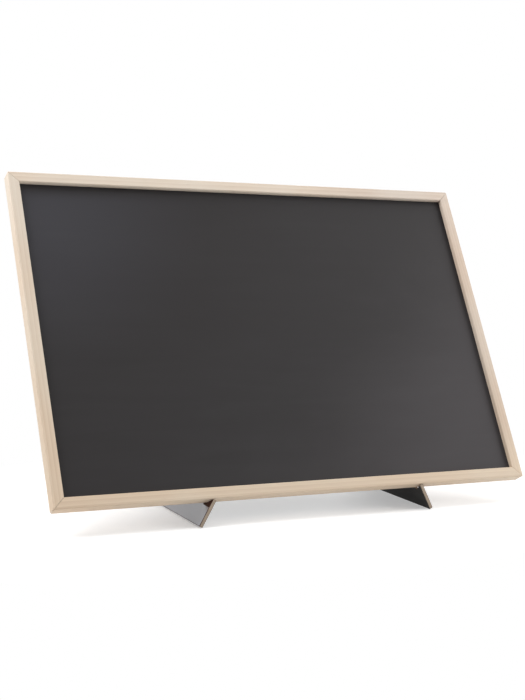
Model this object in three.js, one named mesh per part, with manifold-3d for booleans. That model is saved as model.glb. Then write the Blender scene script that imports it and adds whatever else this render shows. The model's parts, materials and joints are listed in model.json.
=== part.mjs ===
// Tabletop chalkboard with a fold-out stand: a mitred wooden frame holds a black
// writing panel, and behind it a plate carries two hinged wings that splay out as feet.
// Millimetres, +Z up. The origin is on the ground, under the middle of the object's box.
import * as THREE from 'three';
import { mergeVertices } from 'three/addons/utils/BufferGeometryUtils.js';
import Module from 'manifold-3d';

const wasm = await Module();
wasm.setup();

// Frame
const boardWidth = 600;
const boardHeight = 400;
const railWidth = 13;
const railDepth = 15;
const frontEdgeRadius = 1.5;
const backEdgeRadius = 0.8;
const grooveDepth = 5;
const mitreGap = 0.3;

// Writing panel: a thin black sheet on a hardboard core, held in the rails' groove
const surfaceRecess = 6;
const sheetThickness = 0.8;
const coreThickness = 3.2;

// Batten across the back of the panel, flush with the back of the frame
const battenWidth = 32;
const battenHeight = 190;

// Small angled nails across the mitres, driven in from the back
const nailLeg = 7;
const nailThickness = 0.6;
const nailDepth = 5;
const nailInset = 5;
const nailSink = 0.3;

// How the board stands
const leanAngle = 29.5;
const splayAngle = 28.5;
const standLift = 32.2;
const standHalfSpread = 148;
const standOffset = 16;

// Stand plate and wings, cut from the same black-faced board
const plateThickness = 4.5;
const plateBottom = 2;
const plateOverBatten = 6;
const plateCornerRadius = 5;
const wingGroundLength = 180;
const wingOverHinge = 29;
const wingTopWidth = 22;
const wingCornerRadius = 10;
const wingPastPin = 4.5;
const wingEdgeGap = 0.6;

// Butt hinges
const hingeLength = 32;
const leafWidth = 15;
const leafThickness = 1;
const knuckleRadius = 2;
const pinRadius = 1;
const pinHeadRadius = 1.7;
const pinHeadHeight = 0.8;
const knuckleEndGap = 0.3;
const lowerHingeHeight = 48;
const hingeUnderBatten = 26;

// Rivets through each leaf and the board under it
const rivetRadius = 1.4;
const rivetHeadRadius = 2.9;
const rivetHeadHeight = 0.9;
const rivetSpacing = 18;
const rivetEdge = 5.5;
const headTopShare = 0.6;

// Wood screws through the stand plate
const screwRadius = 1.5;
const screwHeadRadius = 3.1;
const screwLength = 8.5;
const screwPointLength = 3;
const screwSpread = 95;
const battenScrewSpread = 28;

// Clearances, and how far a cut runs past the face it opens
const seatGap = 0.3;
const holeGap = 0.3;
const boreGap = 0.2;
const cutPast = 1;

// Facets on small round pieces
const roundSides = 12;
const arcSteps = 6;

// Worked out from the sizes above
const lean = THREE.MathUtils.degToRad(leanAngle);
const splay = THREE.MathUtils.degToRad(splayAngle);
const sheetBack = surfaceRecess + sheetThickness;
const coreFront = sheetBack + seatGap;
const coreBack = coreFront + coreThickness;
const grooveFront = surfaceRecess - seatGap;
const grooveBack = coreBack + seatGap;
const panelWidth = boardWidth - 2 * (railWidth - grooveDepth + seatGap);
const panelHeight = boardHeight - 2 * (railWidth - grooveDepth + seatGap);
const plateFront = railDepth + seatGap;
const plateBack = plateFront + plateThickness;
const plateTop = battenHeight + battenWidth / 2 + plateOverBatten;
const upperHingeHeight = battenHeight - battenWidth / 2 - hingeUnderBatten;
const hingeRise = knuckleRadius + seatGap;
const hingeDepth = plateBack + hingeRise;

// The hinge lines lean inward up the back of the board, so that an open wing
// splays out by splayAngle and still has its ground edge square to the board.
const hingeSlant = Math.atan(Math.tan(splay) * Math.cos(lean));
const openAngle = Math.acos(Math.sin(splay) * Math.sin(lean));
const hingeTilt = Math.atan(Math.tan(lean) * Math.cos(splay));
const hingeReach = standHalfSpread - hingeRise / Math.cos(splay)
  - Math.tan(splay) * (standLift - hingeDepth * Math.sin(lean));

// Materials
const paleWood = new THREE.MeshStandardMaterial({ color: 0xd9c5ab, roughness: 0.6 });
const chalkBlack = new THREE.MeshStandardMaterial({ color: 0x413f40, roughness: 0.9 });
const hardboard = new THREE.MeshStandardMaterial({ color: 0x8a6a4c, roughness: 0.8 });
const blackBoard = new THREE.MeshStandardMaterial({ color: 0x2b2928, roughness: 0.45 });
const steel = new THREE.MeshStandardMaterial({ color: 0xb4b6b8, roughness: 0.35, metalness: 1 });

function toSolid(geometry) {
  const bare = geometry.clone();
  bare.deleteAttribute('normal');
  bare.deleteAttribute('uv');
  const merged = mergeVertices(bare);
  return new wasm.Manifold(new wasm.Mesh({
    numProp: 3,
    vertProperties: new Float32Array(merged.attributes.position.array),
    triVerts: new Uint32Array(merged.index.array),
  }));
}

function toGeometry(solid) {
  const mesh = solid.getMesh();
  const geometry = new THREE.BufferGeometry();
  geometry.setAttribute('position', new THREE.BufferAttribute(new Float32Array(mesh.vertProperties), 3));
  geometry.setIndex(new THREE.BufferAttribute(new Uint32Array(mesh.triVerts), 1));
  geometry.computeVertexNormals();
  return geometry;
}

function join(pieces) {
  return toGeometry(pieces.map(toSolid).reduce((sum, piece) => sum.add(piece)));
}

function cut(piece, cutters) {
  return toGeometry(cutters.map(toSolid).reduce((rest, cutter) => rest.subtract(cutter), toSolid(piece)));
}

function addPiece(group, name, geometry, material) {
  const piece = new THREE.Mesh(geometry, material);
  piece.name = name;
  group.add(piece);
  return piece;
}

// A box given by its lowest and highest corners
function boxBetween(low, high) {
  const size = high.map((value, axis) => value - low[axis]);
  const middle = high.map((value, axis) => (value + low[axis]) / 2);
  return new THREE.BoxGeometry(...size).translate(...middle);
}

// A closed outline through the corners, each with its own radius
function roundedOutline(corners) {
  const shape = new THREE.Shape();
  corners.forEach(({ at, radius }, index) => {
    const before = corners[(index + corners.length - 1) % corners.length].at;
    const after = corners[(index + 1) % corners.length].at;
    const enter = at.clone().add(before.clone().sub(at).setLength(radius));
    const leave = at.clone().add(after.clone().sub(at).setLength(radius));
    if (index === 0) {
      shape.moveTo(enter.x, enter.y);
    } else {
      shape.lineTo(enter.x, enter.y);
    }
    if (radius > 0) {
      shape.quadraticCurveTo(at.x, at.y, leave.x, leave.y);
    }
  });
  shape.closePath();
  return shape;
}

// A flat plate in the x-z plane: its outline drawn there, its thickness along y
function plateFromOutline(shape, front, back) {
  const plate = new THREE.ExtrudeGeometry(shape, {
    depth: back - front,
    bevelEnabled: false,
    curveSegments: arcSteps,
  });
  return plate.rotateX(Math.PI / 2).translate(0, back, 0);
}

// A turned piece round the y axis, from points of radius and height
function turned(points) {
  return new THREE.LatheGeometry(points.map(([radius, height]) => new THREE.Vector2(radius, height)), roundSides);
}

// A hole's outline, for a plate
function roundHole(x, z, radius) {
  const hole = new THREE.Path();
  hole.absarc(x, z, radius, 0, 2 * Math.PI, true);
  return hole;
}

// One rail's section: u runs inward from the frame's outer edge, v back from its front
function railSection() {
  const quarter = Math.PI / 2;
  const section = new THREE.Shape();
  section.moveTo(frontEdgeRadius, 0);
  section.lineTo(railWidth - frontEdgeRadius, 0);
  section.absarc(railWidth - frontEdgeRadius, frontEdgeRadius, frontEdgeRadius, -quarter, 0, false);
  section.lineTo(railWidth, grooveFront);
  section.lineTo(railWidth - grooveDepth, grooveFront);
  section.lineTo(railWidth - grooveDepth, grooveBack);
  section.lineTo(railWidth, grooveBack);
  section.lineTo(railWidth, railDepth);
  section.lineTo(backEdgeRadius, railDepth);
  section.absarc(backEdgeRadius, railDepth - backEdgeRadius, backEdgeRadius, quarter, 2 * quarter, false);
  section.lineTo(0, frontEdgeRadius);
  section.absarc(frontEdgeRadius, frontEdgeRadius, frontEdgeRadius, 2 * quarter, 3 * quarter, false);
  return section;
}

// A rail along x with its outer edge on z = 0, both ends mitred
function mitredRail(length) {
  const rail = new THREE.ExtrudeGeometry(railSection(), {
    depth: length,
    bevelEnabled: false,
    curveSegments: arcSteps,
  });
  rail.translate(0, 0, -length / 2);
  const position = rail.attributes.position;
  const setBack = mitreGap / Math.SQRT2;
  for (let i = 0; i < position.count; i += 1) {
    const end = Math.sign(position.getZ(i));
    position.setZ(i, end * (length / 2 - position.getX(i) - setBack));
  }
  return rail.rotateY(-Math.PI / 2);
}

// The angled nail's outline in the board's plane; margin grows it into its slot
function nailPiece(sideX, sideZ, margin) {
  const cornerX = sideX * (boardWidth / 2 - nailInset);
  const cornerZ = sideZ > 0 ? boardHeight - nailInset : nailInset;
  const half = nailThickness / 2 + margin;
  const reach = nailLeg + margin;
  const front = railDepth - nailSink - nailDepth - margin;
  const back = margin > 0 ? railDepth + cutPast : railDepth - nailSink;
  const along = (x) => cornerX - sideX * x;
  const up = (z) => cornerZ - sideZ * z;
  const between = (x0, z0, x1, z1) => boxBetween(
    [Math.min(along(x0), along(x1)), front, Math.min(up(z0), up(z1))],
    [Math.max(along(x0), along(x1)), back, Math.max(up(z0), up(z1))],
  );
  return join([
    between(-half, -half, reach, half),
    between(-half, -half, half, reach),
  ]);
}

// A countersunk wood screw pointing along -y, its head's face on y = 0
function screwShape(margin) {
  const radius = screwRadius + margin;
  const headRadius = screwHeadRadius + margin;
  const top = margin > 0 ? cutPast : 0;
  const headDepth = screwHeadRadius - screwRadius;
  return turned([
    [0, -screwLength - margin],
    [radius, -screwLength + screwPointLength - margin],
    [radius, -headDepth],
    [headRadius, 0],
    ...(top > 0 ? [[headRadius, top]] : []),
    [0, top],
  ]);
}

// A hinge leaf on the +x side of the pin's axis, its mounting face on y = -knuckleRadius
function leafShape(hasMiddleKnuckle) {
  const third = hingeLength / 3;
  const middle = [[-third / 2 + knuckleEndGap / 2, third / 2 - knuckleEndGap / 2]];
  const outer = [
    [-hingeLength / 2, -third / 2 - knuckleEndGap / 2],
    [third / 2 + knuckleEndGap / 2, hingeLength / 2],
  ];
  const leafStart = knuckleRadius + seatGap;
  const leafFace = -knuckleRadius + leafThickness;
  const plate = new THREE.Shape();
  plate.moveTo(leafStart, -hingeLength / 2);
  plate.lineTo(leafWidth, -hingeLength / 2);
  plate.lineTo(leafWidth, hingeLength / 2);
  plate.lineTo(leafStart, hingeLength / 2);
  plate.closePath();
  plate.holes = rivetPlaces().map(([x, z]) => roundHole(x, z, rivetRadius + holeGap));
  const pieces = [plateFromOutline(plate, -knuckleRadius, leafFace)];
  const bores = [];
  (hasMiddleKnuckle ? middle : outer).forEach(([low, high]) => {
    const knuckle = new THREE.CylinderGeometry(knuckleRadius, knuckleRadius, high - low, roundSides);
    const bore = new THREE.CylinderGeometry(pinRadius + boreGap, pinRadius + boreGap, hingeLength, roundSides);
    pieces.push(knuckle.rotateX(Math.PI / 2).translate(0, 0, (low + high) / 2));
    pieces.push(boxBetween([0, -knuckleRadius, low], [leafStart + leafThickness, leafFace, high]));
    bores.push(bore.rotateX(Math.PI / 2).translate(0, 0, (low + high) / 2));
  });
  return cut(join(pieces), bores);
}

// The rivets' places on a leaf, across from the pin's axis and along it
function rivetPlaces() {
  return [-1, 1].map((end) => [leafWidth - rivetEdge, end * rivetSpacing / 2]);
}

// A rivet along y through a leaf and the board behind it, with a low dome on each side
function rivetShape() {
  const leafFace = -knuckleRadius + leafThickness + boreGap;
  const boardFace = -hingeRise - plateThickness - boreGap;
  const shoulder = rivetHeadRadius * headTopShare;
  return turned([
    [0, boardFace - rivetHeadHeight],
    [shoulder, boardFace - rivetHeadHeight],
    [rivetHeadRadius, boardFace],
    [rivetRadius, boardFace],
    [rivetRadius, leafFace],
    [rivetHeadRadius, leafFace],
    [shoulder, leafFace + rivetHeadHeight],
    [0, leafFace + rivetHeadHeight],
  ]);
}

function pinShape() {
  const end = hingeLength / 2 + boreGap;
  const headRim = pinHeadRadius * headTopShare;
  return turned([
    [0, -end - pinHeadHeight],
    [headRim, -end - pinHeadHeight],
    [pinHeadRadius, -end],
    [pinRadius, -end],
    [pinRadius, end],
    [pinHeadRadius, end],
    [headRim, end + pinHeadHeight],
    [0, end + pinHeadHeight],
  ]).rotateX(Math.PI / 2);
}

// Where the hinge line is, out from the stand's middle, at a height up the board
function hingeLineAt(height) {
  return hingeReach - height * Math.tan(hingeSlant);
}

// A hinge's height up the board, as a distance along its slanted line
function alongHinge(height) {
  return height / Math.cos(hingeSlant);
}

// The wing's outline, seen flat: x out from the hinge line and z along it. Its corners
// are set on the open wing, back along the ground edge and up the face from the ground.
function wingOutline() {
  const axisBack = hingeDepth * Math.cos(lean);
  const axisRise = (standLift - hingeDepth * Math.sin(lean) + hingeRise * Math.sin(splay)) / Math.cos(splay);
  const across = Math.cos(hingeTilt);
  const along = Math.sin(hingeTilt);
  const onWing = (back, rise) => new THREE.Vector2(
    (back - axisBack) * across - (rise - axisRise) * along,
    (back - axisBack) * along + (rise - axisRise) * across,
  );
  // The ledge runs just under the bottom rail
  const ledgeStart = (standLift - plateThickness * Math.sin(splay) - seatGap / Math.cos(lean)) / Math.cos(splay);
  const ledgeDrop = Math.tan(lean) / Math.cos(splay);
  const ledgeAt = (back) => ledgeStart - ledgeDrop * back;
  const ledgeEnd = (-wingPastPin + axisBack * across + (ledgeStart - axisRise) * along)
    / (across + ledgeDrop * along);
  const topFront = new THREE.Vector2(-wingPastPin, alongHinge(upperHingeHeight + wingOverHinge));
  const topRear = topFront.clone().add(new THREE.Vector2(wingTopWidth * across, wingTopWidth * along));
  return [
    { at: onWing(0, 0), radius: 0 },
    { at: onWing(wingGroundLength, 0), radius: wingCornerRadius / 2 },
    { at: topRear, radius: wingCornerRadius },
    { at: topFront, radius: wingCornerRadius / 2 },
    { at: onWing(ledgeEnd, ledgeAt(ledgeEnd)), radius: 0 },
    { at: onWing(0, ledgeAt(0)), radius: 0 },
  ];
}

// What comes off the wing's edge past the pin, so that it turns clear of the frame's back:
// all that lies further from the pin than the wing is deep
function swingCutter(side, bottom, top) {
  const reach = hingeRise + plateThickness;
  const edges = [0, -side * (wingPastPin + cutPast)];
  const edge = boxBetween(
    [Math.min(...edges), -reach - cutPast, bottom],
    [Math.max(...edges), 0, top],
  );
  const swing = new THREE.CylinderGeometry(reach, reach, 2 * (top - bottom), 4 * roundSides);
  return cut(edge, [swing.rotateX(Math.PI / 2).translate(0, 0, (bottom + top) / 2)]);
}

// Frame and panel
const board = new THREE.Group();
const rails = {
  bottom_rail: mitredRail(boardWidth),
  top_rail: mitredRail(boardWidth).rotateY(Math.PI).translate(0, 0, boardHeight),
  left_rail: mitredRail(boardHeight).rotateY(Math.PI / 2).translate(-boardWidth / 2, 0, boardHeight / 2),
  right_rail: mitredRail(boardHeight).rotateY(-Math.PI / 2).translate(boardWidth / 2, 0, boardHeight / 2),
};
const frameCorners = {
  corner_nail_bottom_left: [-1, -1],
  corner_nail_bottom_right: [1, -1],
  corner_nail_top_left: [-1, 1],
  corner_nail_top_right: [1, 1],
};
const nailSlots = Object.values(frameCorners).map(([sideX, sideZ]) => nailPiece(sideX, sideZ, holeGap));

const railMiddle = railWidth / 2;
const screwPlaces = [
  [-screwSpread, railMiddle],
  [0, railMiddle],
  [screwSpread, railMiddle],
  [-battenScrewSpread, battenHeight],
  [battenScrewSpread, battenHeight],
];
const screwHoles = screwPlaces.map(([x, z]) => screwShape(holeGap).translate(x + standOffset, plateBack, z));

for (const [name, rail] of Object.entries(rails)) {
  addPiece(board, name, cut(rail, [...nailSlots, ...screwHoles]), paleWood);
}
for (const [name, [sideX, sideZ]] of Object.entries(frameCorners)) {
  addPiece(board, name, nailPiece(sideX, sideZ, 0), steel);
}

const panelLow = (boardHeight - panelHeight) / 2;
const panelSide = (front, back) => boxBetween(
  [-panelWidth / 2, front, panelLow],
  [panelWidth / 2, back, panelLow + panelHeight],
);
addPiece(board, 'writing_sheet', panelSide(surfaceRecess, sheetBack), chalkBlack);
addPiece(board, 'core_board', panelSide(coreFront, coreBack), hardboard);

const battenHalf = boardWidth / 2 - railWidth - seatGap;
const batten = boxBetween(
  [-battenHalf, grooveBack, battenHeight - battenWidth / 2],
  [battenHalf, railDepth, battenHeight + battenWidth / 2],
);
addPiece(board, 'back_batten', cut(batten, screwHoles), paleWood);

// Stand plate
const stand = new THREE.Group();
stand.position.x = standOffset;
board.add(stand);

const plateEdgeAt = (height) => hingeLineAt(height) - (wingPastPin + wingEdgeGap) / Math.cos(hingeSlant);
const plateCorners = [
  [-plateEdgeAt(plateBottom), plateBottom],
  [plateEdgeAt(plateBottom), plateBottom],
  [plateEdgeAt(plateTop), plateTop],
  [-plateEdgeAt(plateTop), plateTop],
];
const plateOutline = roundedOutline(plateCorners.map(([x, z]) => ({
  at: new THREE.Vector2(x, z),
  radius: plateCornerRadius,
})));
const plateHoles = screwHoles.map((hole) => hole.clone().translate(-standOffset, 0, 0));
const hingeHeights = { lower: lowerHingeHeight, upper: upperHingeHeight };

const standPlate = plateFromOutline(plateOutline, plateFront, plateBack);
const plateRivetHoles = [];
for (const side of [-1, 1]) {
  for (const height of Object.values(hingeHeights)) {
    for (const [x, z] of rivetPlaces()) {
      const hole = turned([
        [0, -hingeRise - plateThickness - cutPast],
        [rivetRadius + holeGap, -hingeRise - plateThickness - cutPast],
        [rivetRadius + holeGap, 0],
        [0, 0],
      ]);
      hole.translate(-side * x, 0, alongHinge(height) + z);
      hole.rotateY(-side * hingeSlant);
      plateRivetHoles.push(hole.translate(side * hingeReach, hingeDepth, 0));
    }
  }
}
addPiece(stand, 'stand_plate', cut(standPlate, [...plateHoles, ...plateRivetHoles]), blackBoard);

screwPlaces.forEach(([x, z], index) => {
  const screw = addPiece(stand, `plate_screw_${index + 1}`, screwShape(0), steel);
  screw.position.set(x, plateBack, z);
});

// Hinges and wings, the left one as seen from the front first
for (const [sideName, side] of [['left', -1], ['right', 1]]) {
  const hingeLine = new THREE.Group();
  hingeLine.position.set(side * hingeReach, hingeDepth, 0);
  hingeLine.rotation.y = -side * hingeSlant;
  stand.add(hingeLine);

  const wing = new THREE.Group();
  wing.rotation.z = side * openAngle;
  hingeLine.add(wing);

  const wingCorners = wingOutline();
  const corners = wingCorners.map(({ at, radius }) => ({
    at: new THREE.Vector2(side * at.x, at.y),
    radius,
  }));
  const outline = roundedOutline(side < 0 ? corners.reverse() : corners);
  outline.holes = Object.values(hingeHeights).flatMap((height) => rivetPlaces().map(
    ([x, z]) => roundHole(side * x, alongHinge(height) + z, rivetRadius + holeGap),
  ));
  const wingPlate = plateFromOutline(outline, -hingeRise - plateThickness, -hingeRise);
  const [, , , topFront, ledgeBack] = wingCorners.map(({ at }) => at);
  const edgeCutter = swingCutter(side, ledgeBack.y, topFront.y + cutPast);
  addPiece(wing, `${sideName}_wing`, cut(wingPlate, [edgeCutter]), blackBoard);

  for (const [level, height] of Object.entries(hingeHeights)) {
    const hingeName = `${sideName}_${level}_hinge`;
    const leaves = [
      { group: hingeLine, kind: 'plate', facing: -side, hasMiddleKnuckle: false },
      { group: wing, kind: 'wing', facing: side, hasMiddleKnuckle: true },
    ];
    for (const { group, kind, facing, hasMiddleKnuckle } of leaves) {
      const leaf = leafShape(hasMiddleKnuckle);
      if (facing < 0) {
        leaf.rotateY(Math.PI);
      }
      addPiece(group, `${hingeName}_${kind}_leaf`, leaf, steel).position.z = alongHinge(height);
      rivetPlaces().forEach(([x, z], index) => {
        const rivet = addPiece(group, `${hingeName}_${kind}_rivet_${index + 1}`, rivetShape(), steel);
        rivet.position.set(facing * x, 0, alongHinge(height) + z);
      });
    }
    addPiece(hingeLine, `${hingeName}_pin`, pinShape(), steel).position.z = alongHinge(height);
  }
}

// Stand the board up, leaning back, with the origin under the middle of its box
const backCorner = (boardHeight - backEdgeRadius) * Math.sin(lean)
  + (railDepth - backEdgeRadius) * Math.cos(lean) + backEdgeRadius;
const depth = Math.max(backCorner, wingGroundLength);
board.position.set(0, -depth / 2, standLift);
board.rotation.x = -lean;

const chalkboard = new THREE.Group();
chalkboard.add(board);

export default chalkboard;
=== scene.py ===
import json
import math

import bmesh
import bpy
from mathutils import Matrix, Vector, noise


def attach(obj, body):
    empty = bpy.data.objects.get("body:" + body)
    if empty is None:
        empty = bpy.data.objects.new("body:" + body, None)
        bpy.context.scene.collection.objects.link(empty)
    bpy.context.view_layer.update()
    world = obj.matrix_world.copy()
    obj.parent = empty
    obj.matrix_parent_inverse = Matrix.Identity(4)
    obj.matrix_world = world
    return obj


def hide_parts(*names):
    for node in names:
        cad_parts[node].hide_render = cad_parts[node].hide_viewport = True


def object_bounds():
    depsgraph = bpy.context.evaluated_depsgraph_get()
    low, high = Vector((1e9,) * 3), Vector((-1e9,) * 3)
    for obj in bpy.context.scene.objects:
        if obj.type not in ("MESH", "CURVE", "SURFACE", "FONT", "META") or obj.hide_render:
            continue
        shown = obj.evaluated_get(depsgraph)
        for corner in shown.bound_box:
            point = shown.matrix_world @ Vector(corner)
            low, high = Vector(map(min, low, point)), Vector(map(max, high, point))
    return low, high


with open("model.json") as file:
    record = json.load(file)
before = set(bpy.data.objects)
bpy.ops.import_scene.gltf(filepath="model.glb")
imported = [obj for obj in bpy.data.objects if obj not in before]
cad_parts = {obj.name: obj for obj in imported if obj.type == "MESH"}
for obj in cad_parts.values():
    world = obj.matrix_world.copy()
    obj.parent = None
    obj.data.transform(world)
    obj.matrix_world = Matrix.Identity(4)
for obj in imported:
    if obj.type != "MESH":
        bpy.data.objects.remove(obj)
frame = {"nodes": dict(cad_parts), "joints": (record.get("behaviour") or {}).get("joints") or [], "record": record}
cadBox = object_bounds()
print("frame loaded:", len(frame["nodes"]), "nodes")

scene = bpy.context.scene
scene.view_settings.view_transform = "Standard"


# Places: each is a matrix whose axes are right, back and up for the piece it belongs to

def placeFrom(origin, right, back, up):
    axes = Matrix((right, back, up)).transposed().to_4x4()
    return Matrix.Translation(origin) @ axes


def nodePoints(node):
    return [vertex.co for vertex in frame["nodes"][node].data.vertices]


def boxIn(place, node):
    inward = place.inverted()
    points = [inward @ point for point in nodePoints(node)]
    low = Vector([min(point[axis] for point in points) for axis in range(3)])
    high = Vector([max(point[axis] for point in points) for axis in range(3)])
    return low, high


def findBoardPlace():
    mounts = {mount["name"]: mount for mount in frame["record"]["mounts"]}
    back = Vector(mounts["frame_back"]["axis"]).normalized()
    right = Vector((1, 0, 0))
    up = right.cross(back)
    points = nodePoints("bottom_rail")
    front = min(point.dot(back) for point in points)
    bottom = min(point.dot(up) for point in points)
    return placeFrom(back * front + up * bottom, right, back, up)


def findHingePlace(joint):
    up = Vector(joint["axis"]).normalized()
    if up.z < 0:
        up.negate()
    back = boardPlace.col[1].xyz
    return placeFrom(Vector(joint["pos_m"]), back.cross(up), back, up)


def findWingPlace(hinge, wing):
    # the wing's own back is the side of its plate that the pin lies on
    face = max(frame["nodes"][wing].data.polygons, key=lambda polygon: polygon.area)
    origin = hinge.translation
    up = hinge.col[2].xyz
    back = face.normal.copy()
    if (origin - face.center).dot(back) < 0:
        back.negate()
    return placeFrom(origin, back.cross(up), back, up)


boardPlace = findBoardPlace()
joints = {joint["child"]: joint for joint in frame["joints"]}
sides = {}
for side, forward in (("left", 1), ("right", -1)):
    # forward is the side of the wing place's right where the wing's front edge is
    body = f"wing_{side}"
    hinge = findHingePlace(joints[body])
    wing = findWingPlace(hinge, f"{side}_wing")
    sides[side] = {"body": body, "hinge": hinge, "wing": wing, "forward": forward}
print("places found for the board and", len(sides), "wings")


# Materials

def addNode(tree, kind, settings=None, inputs=None):
    # inputs are values or other nodes' outputs, by the socket's name or number
    node = tree.nodes.new("ShaderNode" + kind)
    for name, value in (settings or {}).items():
        setattr(node, name, value)
    for name, value in (inputs or {}).items():
        if isinstance(value, bpy.types.NodeSocket):
            tree.links.new(value, node.inputs[name])
        else:
            node.inputs[name].default_value = value
    return node


def startMaterial(name, constants):
    material = bpy.data.materials.new(name)
    material.use_nodes = True
    tree = material.node_tree
    shader = tree.nodes["Principled BSDF"]
    for socket, value in constants.items():
        shader.inputs[socket].default_value = value
    return material, tree, shader


def rgba(colour):
    return (*colour, 1.0)


def storedValue(tree, name, output):
    return addNode(tree, "Attribute", {"attribute_name": name}).outputs[output]


def combine(tree, operation, first, second):
    return addNode(tree, "Math", {"operation": operation}, {0: first, 1: second}).outputs[0]


def average(tree, first, second):
    return combine(tree, "MULTIPLY", combine(tree, "ADD", first, second), 0.5)


def vectorMath(tree, operation, inputs, output="Vector"):
    return addNode(tree, "VectorMath", {"operation": operation}, inputs).outputs[output]


def remap(tree, value, span, result=(0.0, 1.0), kind="LINEAR"):
    sockets = ("Value", "From Min", "From Max", "To Min", "To Max")
    inputs = dict(zip(sockets, (value, *span, *result)))
    return addNode(tree, "MapRange", {"interpolation_type": kind}, inputs).outputs["Result"]


def remapSmooth(tree, value, span, result=(0.0, 1.0)):
    return remap(tree, value, span, result, "SMOOTHSTEP")


def blendColours(tree, factor, first, second, mode="MIX"):
    settings = {"data_type": "RGBA", "blend_type": mode}
    return addNode(tree, "Mix", settings, {0: factor, 6: first, 7: second}).outputs[2]


def addBump(tree, shader, height, strength, distance):
    bump = addNode(tree, "Bump", None, {"Height": height, "Strength": strength, "Distance": distance})
    tree.links.new(bump.outputs["Normal"], shader.inputs["Normal"])


# middle and wide are the spans of a noise's values that most of it, or nearly all of it, lies in;
# a wave texture of scale 1 turns by waveRadians in each metre
pattern = {
    "shiftShares": (1.0, 0.61, 0.37),
    "middle": (0.35, 0.65),
    "wide": (0.3, 0.7),
    "waveRadians": 20.0,
}


def pieceCoordinates(tree, stretch=(1.0, 1.0, 1.0), vary=0.0):
    # the piece's own coordinates; vary shifts the pattern from one piece to the next
    place = storedValue(tree, "own_place", "Vector")
    if vary:
        chance = addNode(tree, "ObjectInfo").outputs["Random"]
        reach = [vary * share for share in pattern["shiftShares"]]
        shift = vectorMath(tree, "SCALE", {0: reach, "Scale": chance})
        place = vectorMath(tree, "ADD", {0: place, 1: shift})
    return addNode(tree, "Mapping", None, {"Vector": place, "Scale": stretch}).outputs["Vector"]


def pieceNoise(tree, scale, detail, roughness, distortion=0.0, vary=0.0):
    # noise that stays with the piece; scale is one number, or one for each axis
    isEven = isinstance(scale, float)
    place = pieceCoordinates(tree, vary=vary) if isEven else pieceCoordinates(tree, scale, vary)
    inputs = {"Vector": place, "Scale": scale if isEven else 1.0, "Detail": detail}
    inputs.update({"Roughness": roughness, "Distortion": distortion})
    return addNode(tree, "TexNoise", None, inputs).outputs["Fac"]


paleWood = {
    "early": (0.735, 0.632, 0.510),
    "late": (0.610, 0.490, 0.365),
    "warm": (1.0, 0.950, 0.915),
    "fleck": (0.50, 0.385, 0.275),
    "ringStretch": (0.035, 1.0, 1.0),
    "ringScale": 95.0,
    "ringWander": 2.2,
    "ringDetail": 3.0,
    "ringDetailScale": 0.35,
    "pithAway": (0.0, 0.021, 0.034),
    "fibreScale": (9.0, 620.0, 620.0),
    "fleckScale": (60.0, 1500.0, 1500.0),
    "patchScale": (7.0, 22.0, 22.0),
    "lateShare": (0.25, 0.8),
    "streakShare": (0.0, 0.30),
    "poreFrom": (0.66, 0.74),
    "poreShare": (0.0, 0.35),
    # painted light: the wood's tone from the frame's bottom to its top
    "lowTone": (1.020, 1.000, 0.975),
    "highTone": (1.090, 1.130, 1.200),
    # painted shade: darker on the frame's right
    "paintedShadeTone": (0.89, 0.87, 0.88),
    "rightFrom": (0.58, 0.80),
    "rightAbove": (0.03, 0.20),
    "roughness": (0.50, 0.66),
    "specular": 0.35,
    "ringRelief": 0.35,
    "bumpStrength": 0.35,
    "bumpDistance": 0.00012,
}


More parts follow.
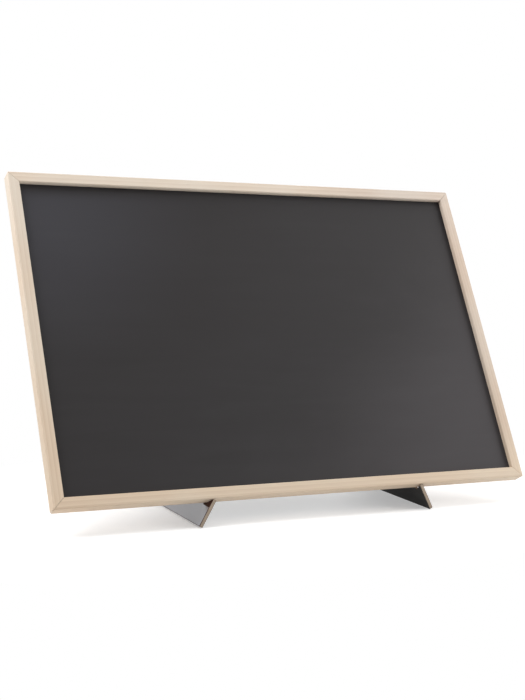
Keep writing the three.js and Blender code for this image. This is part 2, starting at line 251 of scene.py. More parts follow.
def makePaleWood():
    # grain runs along each piece's own x; the rings are round a pith that lies outside the piece
    look = paleWood
    material, tree, shader = startMaterial("pale_wood", {"Specular IOR Level": look["specular"]})
    ringSpace = pieceCoordinates(tree, look["ringStretch"], vary=0.4)
    ringInputs = {
        "Vector": vectorMath(tree, "ADD", {0: ringSpace, 1: look["pithAway"]}),
        "Scale": look["ringScale"],
        "Distortion": look["ringWander"],
        "Detail": look["ringDetail"],
        "Detail Scale": look["ringDetailScale"],
    }
    ringKind = {"wave_type": "RINGS", "rings_direction": "X", "wave_profile": "SAW"}
    rings = addNode(tree, "TexWave", ringKind, ringInputs).outputs["Fac"]
    fibres = pieceNoise(tree, look["fibreScale"], detail=5.0, roughness=0.62, vary=1.0)
    flecks = pieceNoise(tree, look["fleckScale"], detail=2.0, roughness=0.5, vary=2.0)
    patches = pieceNoise(tree, look["patchScale"], detail=2.0, roughness=0.5, vary=3.0)
    late = combine(tree, "MULTIPLY", rings, remap(tree, patches, pattern["wide"], look["lateShare"]))
    colour = blendColours(tree, late, rgba(look["early"]), rgba(look["late"]))
    streaks = remap(tree, fibres, pattern["wide"], look["streakShare"])
    colour = blendColours(tree, streaks, colour, rgba(look["late"]))
    pores = remap(tree, flecks, look["poreFrom"], look["poreShare"])
    colour = blendColours(tree, pores, colour, rgba(look["fleck"]))
    warmth = remap(tree, patches, pattern["middle"])
    colour = blendColours(tree, warmth, colour, rgba(look["warm"]), "MULTIPLY")
    # painted light: the wood is made a little paler and cooler towards the frame's top, where the light falls more
    # strongly
    paintedTopLight = storedValue(tree, "paintedTopLight", "Fac")
    tone = blendColours(tree, paintedTopLight, rgba(look["lowTone"]), rgba(look["highTone"]))
    # and painted shade makes it a little darker on its right, apart from the bottom rail
    shadedRight = remapSmooth(tree, storedValue(tree, "across", "Fac"), look["rightFrom"])
    shadedRight = combine(tree, "MULTIPLY", shadedRight, remapSmooth(tree, paintedTopLight, look["rightAbove"]))
    tone = blendColours(tree, shadedRight, tone, rgba(look["paintedShadeTone"]), "MULTIPLY")
    colour = blendColours(tree, 1.0, colour, tone, "MULTIPLY")
    tree.links.new(colour, shader.inputs["Base Color"])
    tree.links.new(remap(tree, fibres, pattern["wide"], look["roughness"]), shader.inputs["Roughness"])
    relief = combine(tree, "ADD", fibres, combine(tree, "MULTIPLY", rings, look["ringRelief"]))
    relief = combine(tree, "SUBTRACT", relief, pores)
    addBump(tree, shader, relief, look["bumpStrength"], look["bumpDistance"])
    return material


chalkBlack = {
    "coat": (0.0100, 0.0078, 0.0083),
    "residue": (0.040, 0.039, 0.040),
    "wipedScale": (2.2, 1.0, 4.6),
    "wipedFrom": (0.3, 0.75),
    "strokeScale": (5.0, 1.0, 60.0),
    "strokeShare": (0.6, 1.0),
    "traceFrom": (0.35, 0.75),
    "traceShare": (0.0, 0.36),
    # a painted sheen that lightens the board towards the lower right
    "paintedSheen": (0.0275, 0.0250, 0.0265),
    "sheenAcross": (1.0, 0.0, -0.8),
    "sheenFrom": (0.06, 0.34),
    "sheenWander": (-0.05, 0.05),
    # a cool painted highlight in the upper left corner
    "paintedCornerHighlight": (0.0200, 0.0210, 0.0260),
    "corner": (0.31, 0.0, -0.20),
    "cornerFrom": (0.05, 0.28),
    "clearUnderRail": (0.166, 0.187),
    "specular": 0.3,
    "grit": 1900.0,
    "roughness": (0.62, 0.70),
    "bumpStrength": 0.5,
    "bumpDistance": 0.00004,
}


def makeChalkBlack():
    # a sprayed writing coat with the last trace of wiped chalk, and a painted sheen and highlight
    look = chalkBlack
    material, tree, shader = startMaterial("chalk_black", {"Specular IOR Level": look["specular"]})
    wiped = pieceNoise(tree, look["wipedScale"], detail=5.0, roughness=0.55, distortion=0.6)
    strokes = pieceNoise(tree, look["strokeScale"], detail=3.0, roughness=0.5, distortion=0.8)
    grit = pieceNoise(tree, look["grit"], detail=2.0, roughness=0.6)
    trace = remap(tree, wiped, look["traceFrom"], look["traceShare"])
    trace = combine(tree, "MULTIPLY", trace, remap(tree, strokes, pattern["wide"], look["strokeShare"]))
    colour = blendColours(tree, trace, rgba(look["coat"]), rgba(look["residue"]))
    # a painted sheen lightens the board towards the lower right
    own = pieceCoordinates(tree)
    across = vectorMath(tree, "DOT_PRODUCT", {0: own, 1: look["sheenAcross"]}, "Value")
    across = combine(tree, "ADD", across, remap(tree, wiped, look["wipedFrom"], look["sheenWander"]))
    paintedSheen = remapSmooth(tree, across, look["sheenFrom"])
    colour = blendColours(tree, paintedSheen, colour, rgba(look["paintedSheen"]), "ADD")
    # and a cool painted highlight lightens the upper left corner, but not right under the rail
    fromCorner = vectorMath(tree, "ADD", {0: own, 1: look["corner"]})
    away = vectorMath(tree, "LENGTH", {0: fromCorner}, "Value")
    height = addNode(tree, "SeparateXYZ", None, {0: own}).outputs["Z"]
    nearCorner = remapSmooth(tree, away, look["cornerFrom"], (1.0, 0.0))
    belowRail = remapSmooth(tree, height, look["clearUnderRail"], (1.0, 0.0))
    paintedCornerHighlight = combine(tree, "MULTIPLY", nearCorner, belowRail)
    colour = blendColours(tree, paintedCornerHighlight, colour, rgba(look["paintedCornerHighlight"]), "ADD")
    tree.links.new(colour, shader.inputs["Base Color"])
    tree.links.new(remap(tree, wiped, look["wipedFrom"], look["roughness"]), shader.inputs["Roughness"])
    addBump(tree, shader, grit, look["bumpStrength"], look["bumpDistance"])
    return material


blackBoard = {
    "black_smooth_painted_reflection": {
        # black lacquer whose colour is lifted to a grey-lilac as a painted reflection of the bright surroundings
        "paint": (0.150, 0.144, 0.170),
        "scuff": (0.175, 0.169, 0.193),
        "roughness": (0.32, 0.40),
        "shader": {"IOR": 3.0},
    },
    "black_dull": {
        "paint": (0.0225, 0.0205, 0.0190),
        "scuff": (0.040, 0.037, 0.035),
        "roughness": (0.55, 0.72),
        "shader": {"Specular IOR Level": 0.25},
    },
    "black_rubbed_and_painted_shade": {
        # dark brown where the lacquer is rubbed off, and painted shade on the corner below the bottom rail
        "paint": (0.070, 0.035, 0.026),
        "scuff": (0.090, 0.048, 0.037),
        "roughness": (0.80, 0.90),
        "shader": {"Specular IOR Level": 0.05},
    },
    "peelScale": 420.0,
    "wornScale": (14.0, 14.0, 40.0),
    "wornFrom": (0.3, 0.75),
    "scuffFrom": (0.52, 0.78),
    "scuffShare": (0.0, 0.6),
    "bumpStrength": 0.4,
    "bumpDistance": 0.00003,
}


def makeBlackBoard(name):
    # the stand's board is lacquered on its smooth side, whose pale grey is partly a painted reflection, rubbed in
    # places, with painted shade on one small corner, and only sealed on its rough side
    look, shared = blackBoard[name], blackBoard
    material, tree, shader = startMaterial(name, look["shader"])
    peel = pieceNoise(tree, shared["peelScale"], detail=2.0, roughness=0.5)
    worn = pieceNoise(tree, shared["wornScale"], detail=5.0, roughness=0.65, distortion=1.0, vary=1.0)
    scuffed = remap(tree, worn, shared["scuffFrom"], shared["scuffShare"])
    colour = blendColours(tree, scuffed, rgba(look["paint"]), rgba(look["scuff"]))
    tree.links.new(colour, shader.inputs["Base Color"])
    tree.links.new(remap(tree, worn, shared["wornFrom"], look["roughness"]), shader.inputs["Roughness"])
    addBump(tree, shader, peel, shared["bumpStrength"], shared["bumpDistance"])
    return material


rawEdge = {
    "light": (0.52, 0.43, 0.345),
    "dark": (0.30, 0.225, 0.165),
    "layerScale": (120.0, 2200.0, 120.0),
    "fibreScale": 900.0,
    "roughness": 0.85,
    "specular": 0.2,
    "bumpStrength": 0.6,
    "bumpDistance": 0.0001,
}


def makeRawEdge():
    # the sawn edge between the black faces: pressed fibres in thin layers
    look = rawEdge
    constants = {"Roughness": look["roughness"], "Specular IOR Level": look["specular"]}
    material, tree, shader = startMaterial("raw_edge", constants)
    layers = pieceNoise(tree, look["layerScale"], detail=3.0, roughness=0.6, vary=1.0)
    fibres = pieceNoise(tree, look["fibreScale"], detail=4.0, roughness=0.7)
    mixed = average(tree, layers, fibres)
    lightness = remap(tree, mixed, pattern["middle"])
    colour = blendColours(tree, lightness, rgba(look["dark"]), rgba(look["light"]))
    tree.links.new(colour, shader.inputs["Base Color"])
    addBump(tree, shader, mixed, look["bumpStrength"], look["bumpDistance"])
    return material


hardboard = {
    "light": (0.250, 0.180, 0.130),
    "dark": (0.145, 0.100, 0.070),
    "wirePitch": 0.0013,
    "wireWander": 0.25,
    "wireShare": (0.0, 0.22),
    "pulpScale": 520.0,
    "pulpRelief": 0.5,
    "cloudScale": 9.0,
    "roughness": 0.82,
    "specular": 0.25,
    "bumpStrength": 0.5,
    "bumpDistance": 0.0002,
}


def makeHardboard():
    # brown pressed board whose rough side carries the print of the press's wire screen
    look = hardboard
    constants = {"Roughness": look["roughness"], "Specular IOR Level": look["specular"]}
    material, tree, shader = startMaterial("hardboard", constants)
    wireInputs = {
        "Vector": pieceCoordinates(tree),
        "Scale": 2 * math.pi / (pattern["waveRadians"] * look["wirePitch"]),
        "Distortion": look["wireWander"],
    }
    wires = []
    for direction in ("X", "Z"):
        wireKind = {"wave_type": "BANDS", "bands_direction": direction, "wave_profile": "SIN"}
        wires.append(addNode(tree, "TexWave", wireKind, wireInputs).outputs["Fac"])
    screen = combine(tree, "MULTIPLY", *wires)
    pulp = pieceNoise(tree, look["pulpScale"], detail=5.0, roughness=0.7)
    cloud = pieceNoise(tree, look["cloudScale"], detail=3.0, roughness=0.5)
    tone = remap(tree, average(tree, pulp, cloud), pattern["middle"])
    colour = blendColours(tree, tone, rgba(look["dark"]), rgba(look["light"]))
    pressed = remap(tree, screen, (0.0, 1.0), look["wireShare"])
    colour = blendColours(tree, pressed, colour, rgba(look["light"]))
    tree.links.new(colour, shader.inputs["Base Color"])
    relief = combine(tree, "ADD", screen, combine(tree, "MULTIPLY", pulp, look["pulpRelief"]))
    addBump(tree, shader, relief, look["bumpStrength"], look["bumpDistance"])
    return material


steel = {
    "hinge_steel": {
        "bright": (0.66, 0.655, 0.64),
        "dull": (0.47, 0.465, 0.455),
        "roughness": (0.24, 0.42),
    },
    "fastener_steel": {
        "bright": (0.62, 0.60, 0.55),
        "dull": (0.43, 0.41, 0.37),
        "roughness": (0.28, 0.46),
    },
    "drawnScale": (3000.0, 3000.0, 180.0),
    "bloomScale": 260.0,
    "bloomFrom": (0.35, 0.7),
    "bumpStrength": 0.25,
    "bumpDistance": 0.00001,
}


def makeSteel(name):
    # zinc-plated steel, drawn lengthwise, with a dull bloom
    look = steel[name]
    material, tree, shader = startMaterial(name, {"Metallic": 1.0})
    drawn = pieceNoise(tree, steel["drawnScale"], detail=3.0, roughness=0.6, vary=1.0)
    bloom = pieceNoise(tree, steel["bloomScale"], detail=3.0, roughness=0.6, vary=1.0)
    dulled = remap(tree, bloom, steel["bloomFrom"])
    colour = blendColours(tree, dulled, rgba(look["bright"]), rgba(look["dull"]))
    tree.links.new(colour, shader.inputs["Base Color"])
    tree.links.new(remap(tree, drawn, pattern["wide"], look["roughness"]), shader.inputs["Roughness"])
    addBump(tree, shader, drawn, steel["bumpStrength"], steel["bumpDistance"])
    return material


materials = {
    "pale_wood": makePaleWood(),
    "chalk_black": makeChalkBlack(),
    "black_smooth_painted_reflection": makeBlackBoard("black_smooth_painted_reflection"),
    "black_dull": makeBlackBoard("black_dull"),
    "black_rubbed_and_painted_shade": makeBlackBoard("black_rubbed_and_painted_shade"),
    "raw_edge": makeRawEdge(),
    "hardboard": makeHardboard(),
    "hinge_steel": makeSteel("hinge_steel"),
    "fastener_steel": makeSteel("fastener_steel"),
}
print("materials made:", len(materials))


# Shapes shared by several pieces

shaping = {
    "smoothBelow": math.radians(38),
    "squareAbove": math.radians(60),
    "flatWithin": math.radians(0.5),
    "mergeWithin": 0.000002,
}


def addPiece(name, shape, place, body, slot, nodes, finishes=None):
    mesh = bpy.data.meshes.new(name)
    shape.to_mesh(mesh)
    shape.free()
    # the finishes follow the shape's own coordinates, which stay with the piece as it moves
    ownPlace = mesh.attributes.new("own_place", "FLOAT_VECTOR", "POINT")
    for vertex, stored in zip(mesh.vertices, ownPlace.data):
        stored.vector = vertex.co
    mesh.transform(place)
    mesh.shade_smooth()
    mesh.set_sharp_from_angle(angle=shaping["smoothBelow"])
    for finish in finishes or [slot]:
        mesh.materials.append(materials[finish])
    piece = bpy.data.objects.new(name, mesh)
    scene.collection.objects.link(piece)
    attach(piece, body)
    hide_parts(*nodes)
    return piece


def shapeOf(node, place):
    # the node's own solid, seen from the place, its flat faces whole again
    shape = bmesh.new()
    shape.from_mesh(frame["nodes"][node].data)
    shape.transform(place.inverted())
    bmesh.ops.remove_doubles(shape, verts=shape.verts, dist=shaping["mergeWithin"])
    flatWithin = shaping["flatWithin"]
    bmesh.ops.dissolve_limit(shape, angle_limit=flatWithin, verts=shape.verts, edges=shape.edges)
    return shape


def allOf(shape):
    return shape.verts[:] + shape.edges[:] + shape.faces[:]


def roundEdges(shape, edges, radius, steps):
    bmesh.ops.bevel(shape, geom=edges, offset=radius, segments=steps, profile=0.5, affect="EDGES")


def easeEdges(shape, width, longerThan, steps=2):
    # rounds the square edges of a solid, but not the rims of its small holes
    edges = []
    for edge in shape.edges:
        if len(edge.link_faces) != 2:
            continue
        if edge.calc_length() > longerThan and edge.calc_face_angle() > shaping["squareAbove"]:
            edges.append(edge)
    roundEdges(shape, edges, width, steps)


def turnedShape(profile, sides):
    # a turned solid round z, from points of radius and height that start and end on the axis
    shape = bmesh.new()
    angles = [2 * math.pi * step / sides for step in range(sides)]
    rings = []
    for radius, height in profile:
        if radius == 0:
            points = [(0, 0, height)]
        else:
            points = [(radius * math.cos(angle), radius * math.sin(angle), height) for angle in angles]
        rings.append([shape.verts.new(point) for point in points])
    for lower, upper in zip(rings, rings[1:]):
        for step in range(sides):
            after = (step + 1) % sides
            if len(lower) == 1:
                shape.faces.new((lower[0], upper[after], upper[step]))
            elif len(upper) == 1:
                shape.faces.new((lower[step], lower[after], upper[0]))
            else:
                shape.faces.new((lower[step], lower[after], upper[after], upper[step]))
    bmesh.ops.recalc_face_normals(shape, faces=shape.faces)
    return shape


def dome(radius, base, rise, steps):
    # points of a low dome's profile from its rim to the axis
    points = []
    for step in range(steps + 1):
        angle = math.pi / 2 * step / steps
        points.append((radius * math.cos(angle) if step < steps else 0, base + rise * math.sin(angle)))
    return points


def headedShape(radius, length, rise, shankShare, sides, domeSteps):
    # a round shank with the same low dome at each end
    shank, rim = radius * shankShare, length / 2 - rise
    top = dome(radius, rim, rise, domeSteps)
    bottom = [(across, -height) for across, height in reversed(top)]
    return turnedShape([*bottom, (shank, -rim), (shank, rim), *top], sides)


# Rails of the frame

rail = {"edge": 0.0003, "easedFrom": 0.05, "cornerRadius": 0.0026, "cornerCuts": 4, "cutWithin": 1e-7}


def railPlace(node):
    low, high = boxIn(boardPlace, node)
    middle = boardPlace @ ((low + high) / 2)
    right, back, up = (boardPlace.col[axis].xyz for axis in range(3))
    if high.x - low.x > high.z - low.z:
        return placeFrom(middle, right, back, up)
    return placeFrom(middle, up, back, -right)


def roundFrameCorners(shape, place):
    # planes that touch the corner's rounding take off what lies outside them
    inward = (boardPlace.inverted() @ place).inverted()
    turnOnly = inward.to_3x3()
    radius, cuts = rail["cornerRadius"], rail["cornerCuts"]
    limits = ((frameLow, -1), (frameHigh, 1))
    for (across, outX), (level, outZ) in [(first, second) for first in limits for second in limits]:
        centre = Vector((across.x - outX * radius, 0, level.z - outZ * radius))
        for cut in range(cuts):
            angle = math.pi / 2 * (cut + 0.5) / cuts
            outward = Vector((outX * math.cos(angle), 0, outZ * math.sin(angle)))
            result = bmesh.ops.bisect_plane(
                shape, geom=allOf(shape), dist=rail["cutWithin"], clear_outer=True,
                plane_co=inward @ (centre + outward * radius), plane_no=turnOnly @ outward,
            )
            rim = [item for item in result["geom_cut"] if isinstance(item, bmesh.types.BMEdge)]
            if rim:
                bmesh.ops.holes_fill(shape, edges=rim)


def storePaintedLightPlaces(piece):
    # how far up the frame each point lies, and how far across it, for the wood's painted light and shade
    inward = boardPlace.inverted()
    for name, axis in (("paintedTopLight", 2), ("across", 0)):
        stored = piece.data.attributes.new(name, "FLOAT", "POINT").data
        for vertex, item in zip(piece.data.vertices, stored):
            reach = (inward @ vertex.co)[axis]
            item.value = (reach - frameLow[axis]) / (frameHigh[axis] - frameLow[axis])


railNodes = ("bottom_rail", "top_rail", "left_rail", "right_rail")
railBoxes = [boxIn(boardPlace, node) for node in railNodes]
frameLow = Vector([min(low[axis] for low, high in railBoxes) for axis in range(3)])
frameHigh = Vector([max(high[axis] for low, high in railBoxes) for axis in range(3)])
for node in railNodes:
    place = railPlace(node)
    shape = shapeOf(node, place)
    easeEdges(shape, rail["edge"], rail["easedFrom"])
    roundFrameCorners(shape, place)
    storePaintedLightPlaces(addPiece(f"{node}_wood", shape, place, "board", "pale_wood", [node]))

batten = {"edge": 0.0006, "easedFrom": 0.01}

place = railPlace("back_batten")
shape = shapeOf("back_batten", place)
easeEdges(shape, batten["edge"], batten["easedFrom"])
storePaintedLightPlaces(addPiece("back_batten_wood", shape, place, "board", "pale_wood", ["back_batten"]))
print("frame rails and batten made")


# Writing sheet and its core

panel = {"edge": 0.00015, "cell": 0.012, "unevenness": 0.00010, "waveLength": 0.16, "spanShare": 0.9}


def panelShape(low, high):
    # a thin panel whose front lies very slightly uneven, as a glued sheet does
    size = high - low
    shape = bmesh.new()
    bmesh.ops.create_cube(shape, size=1.0)
    bmesh.ops.scale(shape, vec=size, verts=shape.verts)
    easeEdges(shape, panel["edge"], 0.0)
    for axis in (0, 2):
        span = size[axis] * panel["spanShare"]
        along = [edge for edge in shape.edges if abs((edge.verts[0].co - edge.verts[1].co)[axis]) > span]
        cuts = round(size[axis] / panel["cell"])
        bmesh.ops.subdivide_edges(shape, edges=along, cuts=cuts, use_grid_fill=True)
    for vertex in shape.verts:
        if vertex.co.y < -size.y / 2 + panel["edge"] / 4:
            wave = noise.noise(Vector((vertex.co.x, 0, vertex.co.z)) / panel["waveLength"])
            vertex.co.y += panel["unevenness"] * (0.5 + 0.5 * wave)
    return shape


for node, slot in (("writing_sheet", "chalk_black"), ("core_board", "hardboard")):
    low, high = boxIn(boardPlace, node)
    place = boardPlace @ Matrix.Translation((low + high) / 2)
    addPiece(f"{node}_panel", panelShape(low, high), place, "board", slot, [node])
print("writing sheet and core made")


# Corner nails

nail = {"edge": 0.0001, "easedFrom": 0.0003}

for node in sorted(name for name in frame["nodes"] if name.startswith("corner_nail")):
    low, high = boxIn(boardPlace, node)
    place = boardPlace @ Matrix.Translation((low + high) / 2)
    shape = shapeOf(node, place)
    easeEdges(shape, nail["edge"], nail["easedFrom"], steps=1)
    addPiece(f"{node}_steel", shape, place, "board", "fastener_steel", [node])
print("corner nails made")


# Stand plate and wings: black faces, raw edges

# the dark corner of painted shade on a wing's outer side is bounded by two points: how far forward of the pin they
# lie, and how far up the hinge line from the joint's own point
standBoard = {
    "edge": 0.0005,
    "easedFrom": 0.001,
    "faceTilt": 0.3,
    "flatTilt": 0.98,
    "paintedShadeFrom": (0.001, -0.0559),
    "paintedShadeTo": (0.0154, -0.0635),
    "paintedShadeBelow": -0.0555,
    "finishes": ["black_smooth_painted_reflection", "black_rubbed_and_painted_shade", "raw_edge", "black_dull"],
}


def cutPaintedShadeCorner(shape, forward):
    # an edge across the wing, so that the small corner below the bottom rail has faces of its own, for the painted
    # shade there
    low, high = (Vector((forward * x, 0, z)) for x, z in (standBoard["paintedShadeTo"], standBoard["paintedShadeFrom"]))
    towardsRail = Vector((0, forward, 0)).cross(high - low)
    bmesh.ops.bisect_plane(shape, geom=allOf(shape), dist=0.0, plane_co=high, plane_no=towardsRail)
    shape.normal_update()
    corner = set()
    for face in shape.faces:
        middle = face.calc_center_median()
        if (middle - high).dot(towardsRail) > 0 and middle.z < standBoard["paintedShadeBelow"]:
            corner.add(face)
    return corner


def finishOf(face, paintedShadeCorner):
    # the outer side is lacquered where it is flat, and the lacquer is rubbed off on its eased edges and on the
    # strip rounded about the pin; the small corner below the bottom rail gets the same dark brown as painted shade
    across = face.normal.y
    if abs(across) <= standBoard["faceTilt"]:
        return "raw_edge"
    if across > 0:
        return "black_dull"
    if across > -standBoard["flatTilt"] or face in paintedShadeCorner:
        return "black_rubbed_and_painted_shade"
    return "black_smooth_painted_reflection"


def addStandBoard(node, place, body, forward=None):
    shape = shapeOf(node, place)
    easeEdges(shape, standBoard["edge"], standBoard["easedFrom"])
    shape.normal_update()
    paintedShadeCorner = cutPaintedShadeCorner(shape, forward) if forward else set()
    finishes = standBoard["finishes"]
    for face in shape.faces:
        face.material_index = finishes.index(finishOf(face, paintedShadeCorner))
    addPiece(f"{node}_board", shape, place, body, "black_board", [node], finishes)


addStandBoard("stand_plate", boardPlace, "board")
for side, parts in sides.items():
    addStandBoard(f"{side}_wing", parts["wing"], parts["body"], parts["forward"])
print("stand plate and wings made")


# Screws through the stand plate

screw = {
    "sides": 32,
    "shankShare": 0.48,
    "threadPitch": 0.0011,
    "threadDepth": 0.00035,
    "pointLength": 0.003,
    "recessLength": 0.0036,
    "recessWidth": 0.0009,
    "recessDepth": 0.0012,
    "recessTaper": (0.45, 0.6),
    "rimEase": 0.00012,
    "turnBetween": 0.9,
}


def screwProfile(headRadius, length):
    # from the tip up to the head's flat face on height 0
    shank = headRadius * screw["shankShare"]
    headDepth = headRadius - shank
    points = [(0, -length)]
    pitch, depth = screw["threadPitch"], screw["threadDepth"]
    turns = int((length - headDepth - pitch) / pitch)
    for turn in range(turns):
        height = -length + pitch * (turn + 0.5)
        taper = min(1.0, (height + length) / screw["pointLength"])
        points.append(((shank - depth) * taper, height))
        points.append((shank * taper, height + pitch / 2))
    points.append((shank - depth, -headDepth - depth))
    # the head's rim is eased in two steps
    ease = screw["rimEase"]
    points.append((headRadius, -ease * 2))
    points.append((headRadius - ease, -ease / 2))
    points.append((headRadius - ease * 3, 0))
    points.append((0, 0))
    return points


def crossCutter():
    # two crossed wedges that narrow towards the bottom of the recess
    cutter = bmesh.new()
    depth = screw["recessDepth"]
    for turn in (0, math.pi / 2):
        made = bmesh.ops.create_cube(cutter, size=1.0)["verts"]
        for vertex in made:
            isDeep = vertex.co.z < 0
            lengthShare, widthShare = screw["recessTaper"] if isDeep else (1.0, 1.0)
            vertex.co.x *= screw["recessLength"] * lengthShare
            vertex.co.y *= screw["recessWidth"] * widthShare
            vertex.co.z = -depth if isDeep else depth / 2
        bmesh.ops.rotate(cutter, cent=(0, 0, 0), matrix=Matrix.Rotation(turn, 3, "Z"), verts=made)
    return cutter


def cutAway(shape, cutter):
    # the shape less the cutter, worked out by Blender's boolean and read back
    pieces = []
    for name, source in (("cut_from", shape), ("cut_with", cutter)):
        mesh = bpy.data.meshes.new(name)
        source.to_mesh(mesh)
        source.free()
        pieces.append(bpy.data.objects.new(name, mesh))
        scene.collection.objects.link(pieces[-1])
    modifier = pieces[0].modifiers.new("cut", "BOOLEAN")
    modifier.operation = "DIFFERENCE"
    modifier.solver = "EXACT"
    modifier.use_self = True
    modifier.object = pieces[1]
    graph = bpy.context.evaluated_depsgraph_get()
    result = bmesh.new()
    result.from_mesh(pieces[0].evaluated_get(graph).to_mesh())
    for piece in pieces:
        bpy.data.objects.remove(piece)
    return result


screwNodes = sorted(name for name in frame["nodes"] if name.startswith("plate_screw"))
for index, node in enumerate(screwNodes, 1):
    low, high = boxIn(boardPlace, node)
    headRadius = (high.x - low.x) / 2
    shape = turnedShape(screwProfile(headRadius, high.y - low.y), screw["sides"])
    shape = cutAway(shape, crossCutter())
    middle = (low + high) / 2
    # the turned shape stands on z, and the screw's head looks back out of the board
    outOfBoard = Matrix.Rotation(-math.pi / 2, 4, "X")
    spin = Matrix.Rotation(index * screw["turnBetween"], 4, "Z")
    place = boardPlace @ Matrix.Translation((middle.x, high.y, middle.z)) @ outOfBoard @ spin
    addPiece(f"{node}_crosshead", shape, place, "board", "fastener_steel", [node])
print("screws made")


# Hinges

hingeParts = {
    "leafThickness": 0.001,
    "knuckleWall": 0.0009,
    "knuckleGap": 0.0003,
    "rollTurn": math.radians(292),
    "rollSteps": 22,
    "cornerRadius": 0.002,
    "cornerSteps": 5,
    "edge": 0.00012,
    "easedFrom": 0.0004,
    "sameWithin": 1e-6,
    "pin": {"rise": 0.0008, "shankShare": 0.58, "sides": 32, "domeSteps": 6},
    "rivet": {"rise": 0.0009, "shankShare": 0.48, "sides": 32, "domeSteps": 6},
}


def leafPath(width, radius):
    # where the strip's mounting side runs, from its far end in to the pin and round it:
    # each point has its inward normal and the strip's thickness there
    thick, wall = hingeParts["leafThickness"], hingeParts["knuckleWall"]
    start = radius + hingeParts["knuckleGap"]
    path = [((width, -radius), (0, 1), thick), ((start, -radius), (0, 1), thick)]
    for step in range(hingeParts["rollSteps"] + 1):
        angle = -math.pi / 2 - hingeParts["rollTurn"] * step / hingeParts["rollSteps"]
        outward = (math.cos(angle), math.sin(angle))
        path.append(((radius * outward[0], radius * outward[1]), (-outward[0], -outward[1]), wall))
    return path


def farCorners(shape, width, half):
    # the short edges through the strip's thickness at the two corners away from the pin
    within = hingeParts["sameWithin"]
    corners = []
    for edge in shape.edges:
        first, second = (vertex.co for vertex in edge.verts)
        isFar = abs(first.x - width) < within and abs(second.x - width) < within
        isEnd = abs(first.z - second.z) < within and abs(abs(first.z) - half) < within
        if isFar and isEnd and edge.is_manifold:
            corners.append(edge)
    return corners


def rolledLeaf(width, length, radius, holdsMiddle):
    # a strip cut like a comb, its tongues rolled round the pin
    path = leafPath(width, radius)
    half, sixth, gap = length / 2, length / 6, hingeParts["knuckleGap"] / 2
    levels = [-half, -sixth - gap, -sixth + gap, sixth - gap, sixth + gap, half]
    tongues = {2} if holdsMiddle else {0, 4}
    shape = bmesh.new()
    made = {}

    def corner(column, row, inner):
        key = (column, row, inner)
        if key not in made:
            (x, y), normal, thickness = path[column]
            reach = thickness if inner else 0
            made[key] = shape.verts.new((x + normal[0] * reach, y + normal[1] * reach, levels[row]))
        return made[key]

    def isThere(column, row):
        inRange = 0 <= column < len(path) - 1 and 0 <= row < len(levels) - 1
        return inRange and (column == 0 or row in tongues)

    for column in range(len(path) - 1):
        for row in range(len(levels) - 1):
            if not isThere(column, row):
                continue
            square = [(column, row), (column + 1, row), (column + 1, row + 1), (column, row + 1)]
            shape.faces.new([corner(*at, False) for at in square])
            shape.faces.new([corner(*at, True) for at in reversed(square)])
            neighbours = [(column, row - 1), (column + 1, row), (column, row + 1), (column - 1, row)]
            for index, neighbour in enumerate(neighbours):
                if not isThere(*neighbour):
                    first, second = square[index], square[(index + 1) % 4]
                    rim = [(second, False), (first, False), (first, True), (second, True)]
                    shape.faces.new([corner(*at, inner) for at, inner in rim])
    bmesh.ops.recalc_face_normals(shape, faces=shape.faces)
    roundEdges(shape, farCorners(shape, width, half), hingeParts["cornerRadius"], hingeParts["cornerSteps"])
    easeEdges(shape, hingeParts["edge"], hingeParts["easedFrom"])
    return shape


def addLeaf(name, place, body, pinMiddle, holdsMiddle):
    low, high = boxIn(place, name)
    facing = 1 if low.x + high.x > 0 else -1
    width = max(abs(low.x), abs(high.x))
    at = place @ Matrix.Translation((0, 0, pinMiddle))
    if facing < 0:
        at = at @ Matrix.Rotation(math.pi, 4, "Y")
    shape = rolledLeaf(width, high.z - low.z, -low.y, holdsMiddle)
    addPiece(f"{name}_rolled", shape, at, body, "hinge_steel", [name])


def addRivet(name, place, body):
    low, high = boxIn(place, name)
    # the turned shape stands on z, and the rivet runs along y
    at = place @ Matrix.Translation((low + high) / 2) @ Matrix.Rotation(-math.pi / 2, 4, "X")
    shape = headedShape((high.x - low.x) / 2, high.y - low.y, **hingeParts["rivet"])
    addPiece(f"{name}_domed", shape, at, body, "hinge_steel", [name])


for side, parts in sides.items():
    for level in ("lower", "upper"):
        hingeName = f"{side}_{level}_hinge"
        low, high = boxIn(parts["hinge"], f"{hingeName}_pin")
        middle = (low.z + high.z) / 2
        pinPlace = parts["hinge"] @ Matrix.Translation((0, 0, middle))
        shape = headedShape((high.x - low.x) / 2, high.z - low.z, **hingeParts["pin"])
        addPiece(f"{hingeName}_pin_domed", shape, pinPlace, "board", "hinge_steel", [f"{hingeName}_pin"])
        addLeaf(f"{hingeName}_plate_leaf", parts["hinge"], "board", middle, False)
        addLeaf(f"{hingeName}_wing_leaf", parts["wing"], parts["body"], middle, True)
        for index in (1, 2):
            addRivet(f"{hingeName}_plate_rivet_{index}", parts["hinge"], "board")
            addRivet(f"{hingeName}_wing_rivet_{index}", parts["wing"], parts["body"])
print("hinges made")


# Camera, floor and light

cameraView = {
    "lens": 66.61,
    "sensor": 36,
    "location": (-0.702, -1.3642, 0.3404),
    "turn": (84.074, -2.052, -26.556),
}


def addCamera():
    data = bpy.data.cameras.new("camera")
    data.lens = cameraView["lens"]
    data.sensor_width = cameraView["sensor"]
    camera = bpy.data.objects.new("camera", data)
    camera.location = cameraView["location"]
    camera.rotation_euler = [math.radians(angle) for angle in cameraView["turn"]]
    scene.collection.objects.link(camera)
    scene.camera = camera


studio = {
    "floorSize": 14.0,
    "floorColour": (0.80, 0.80, 0.80),
    "floorGlow": 0.37,
    "whiteReach": (0.55, 1.0, 1.0),
    "whiteFrom": (0.20, 0.32),
    "skyLevel": 0.18,
}


plainWhite = (1, 1, 1, 1)


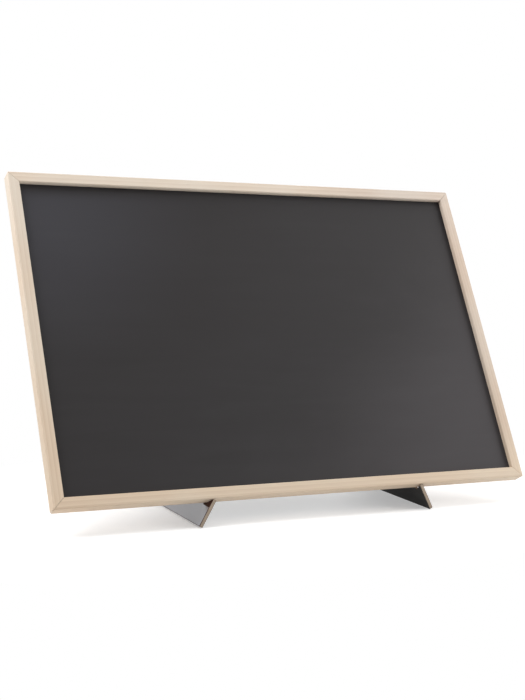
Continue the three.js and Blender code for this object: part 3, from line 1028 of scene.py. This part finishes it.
def seenDirectly(tree):
    # 1 for rays that come from the camera, a mirror-like surface or through glass
    path = addNode(tree, "LightPath").outputs
    seen = combine(tree, "MAXIMUM", path["Is Camera Ray"], path["Is Glossy Ray"])
    return combine(tree, "MAXIMUM", seen, path["Is Transmission Ray"])


def addFloor():
    half = studio["floorSize"] / 2
    corners = [(-half, -half, 0), (half, -half, 0), (half, half, 0), (-half, half, 0)]
    mesh = bpy.data.meshes.new("floor")
    mesh.from_pydata(corners, [], [(0, 1, 2, 3)])
    floor = bpy.data.objects.new("floor", mesh)
    scene.collection.objects.link(floor)
    material = bpy.data.materials.new("floor_paper")
    material.use_nodes = True
    tree = material.node_tree
    tree.nodes.clear()
    paper = addNode(tree, "BsdfDiffuse", None, {"Color": rgba(studio["floorColour"])})
    seen = seenDirectly(tree)
    level = combine(tree, "MULTIPLY", seen, studio["floorGlow"])
    glow = addNode(tree, "Emission", None, {"Color": plainWhite, "Strength": level})
    lit = addNode(tree, "AddShader", None, {0: paper.outputs[0], 1: glow.outputs[0]})
    # away from the object and its shadow the floor is seen as plain white, as the background is
    place = addNode(tree, "TexCoord").outputs["Object"]
    reach = vectorMath(tree, "MULTIPLY", {0: place, 1: studio["whiteReach"]})
    distance = vectorMath(tree, "LENGTH", {0: reach}, "Value")
    share = combine(tree, "MULTIPLY", seen, remap(tree, distance, studio["whiteFrom"]))
    white = addNode(tree, "Emission", None, {"Color": plainWhite, "Strength": 1.0})
    mixed = addNode(tree, "MixShader", None, {0: share, 1: lit.outputs[0], 2: white.outputs[0]})
    addNode(tree, "OutputMaterial", None, {"Surface": mixed.outputs[0]})
    mesh.materials.append(material)


def addWorld():
    world = bpy.data.worlds.new("studio")
    scene.world = world
    world.use_nodes = True
    tree = world.node_tree
    tree.nodes.clear()
    sky = addNode(tree, "Background", None, {"Color": plainWhite, "Strength": studio["skyLevel"]})
    white = addNode(tree, "Background", None, {"Color": plainWhite, "Strength": 1.0})
    either = {0: seenDirectly(tree), 1: sky.outputs[0], 2: white.outputs[0]}
    mixed = addNode(tree, "MixShader", None, either)
    addNode(tree, "OutputWorld", None, {"Surface": mixed.outputs[0]})


lampReach = {"distance": 2.0, "size": 1.2}
lamps = {
    "left": {"azimuth": -90, "elevation": 45, "power": 34.0},
    "frontRight": {"azimuth": 60, "elevation": 15, "power": 18.5},
    "right": {"azimuth": 90, "elevation": 45, "power": 14.0},
    "backRight": {"azimuth": 160, "elevation": 15, "power": 28.5},
}


def addLamps():
    # soft square lamps that all face the middle of the board; azimuth 0 is straight in front
    target = Vector((0, 0, (cadBox[0].z + cadBox[1].z) / 2))
    for name, lamp in lamps.items():
        azimuth, elevation = math.radians(lamp["azimuth"]), math.radians(lamp["elevation"])
        level = math.cos(elevation)
        away = Vector((math.sin(azimuth) * level, -math.cos(azimuth) * level, math.sin(elevation)))
        data = bpy.data.lights.new(name, "AREA")
        data.size = lampReach["size"]
        data.energy = lamp["power"]
        light = bpy.data.objects.new(name, data)
        light.location = target + away * lampReach["distance"]
        light.rotation_euler = away.to_track_quat("Z", "Y").to_euler()
        scene.collection.objects.link(light)


addCamera()
addFloor()
addWorld()
addLamps()
print("camera, floor and lamps placed")
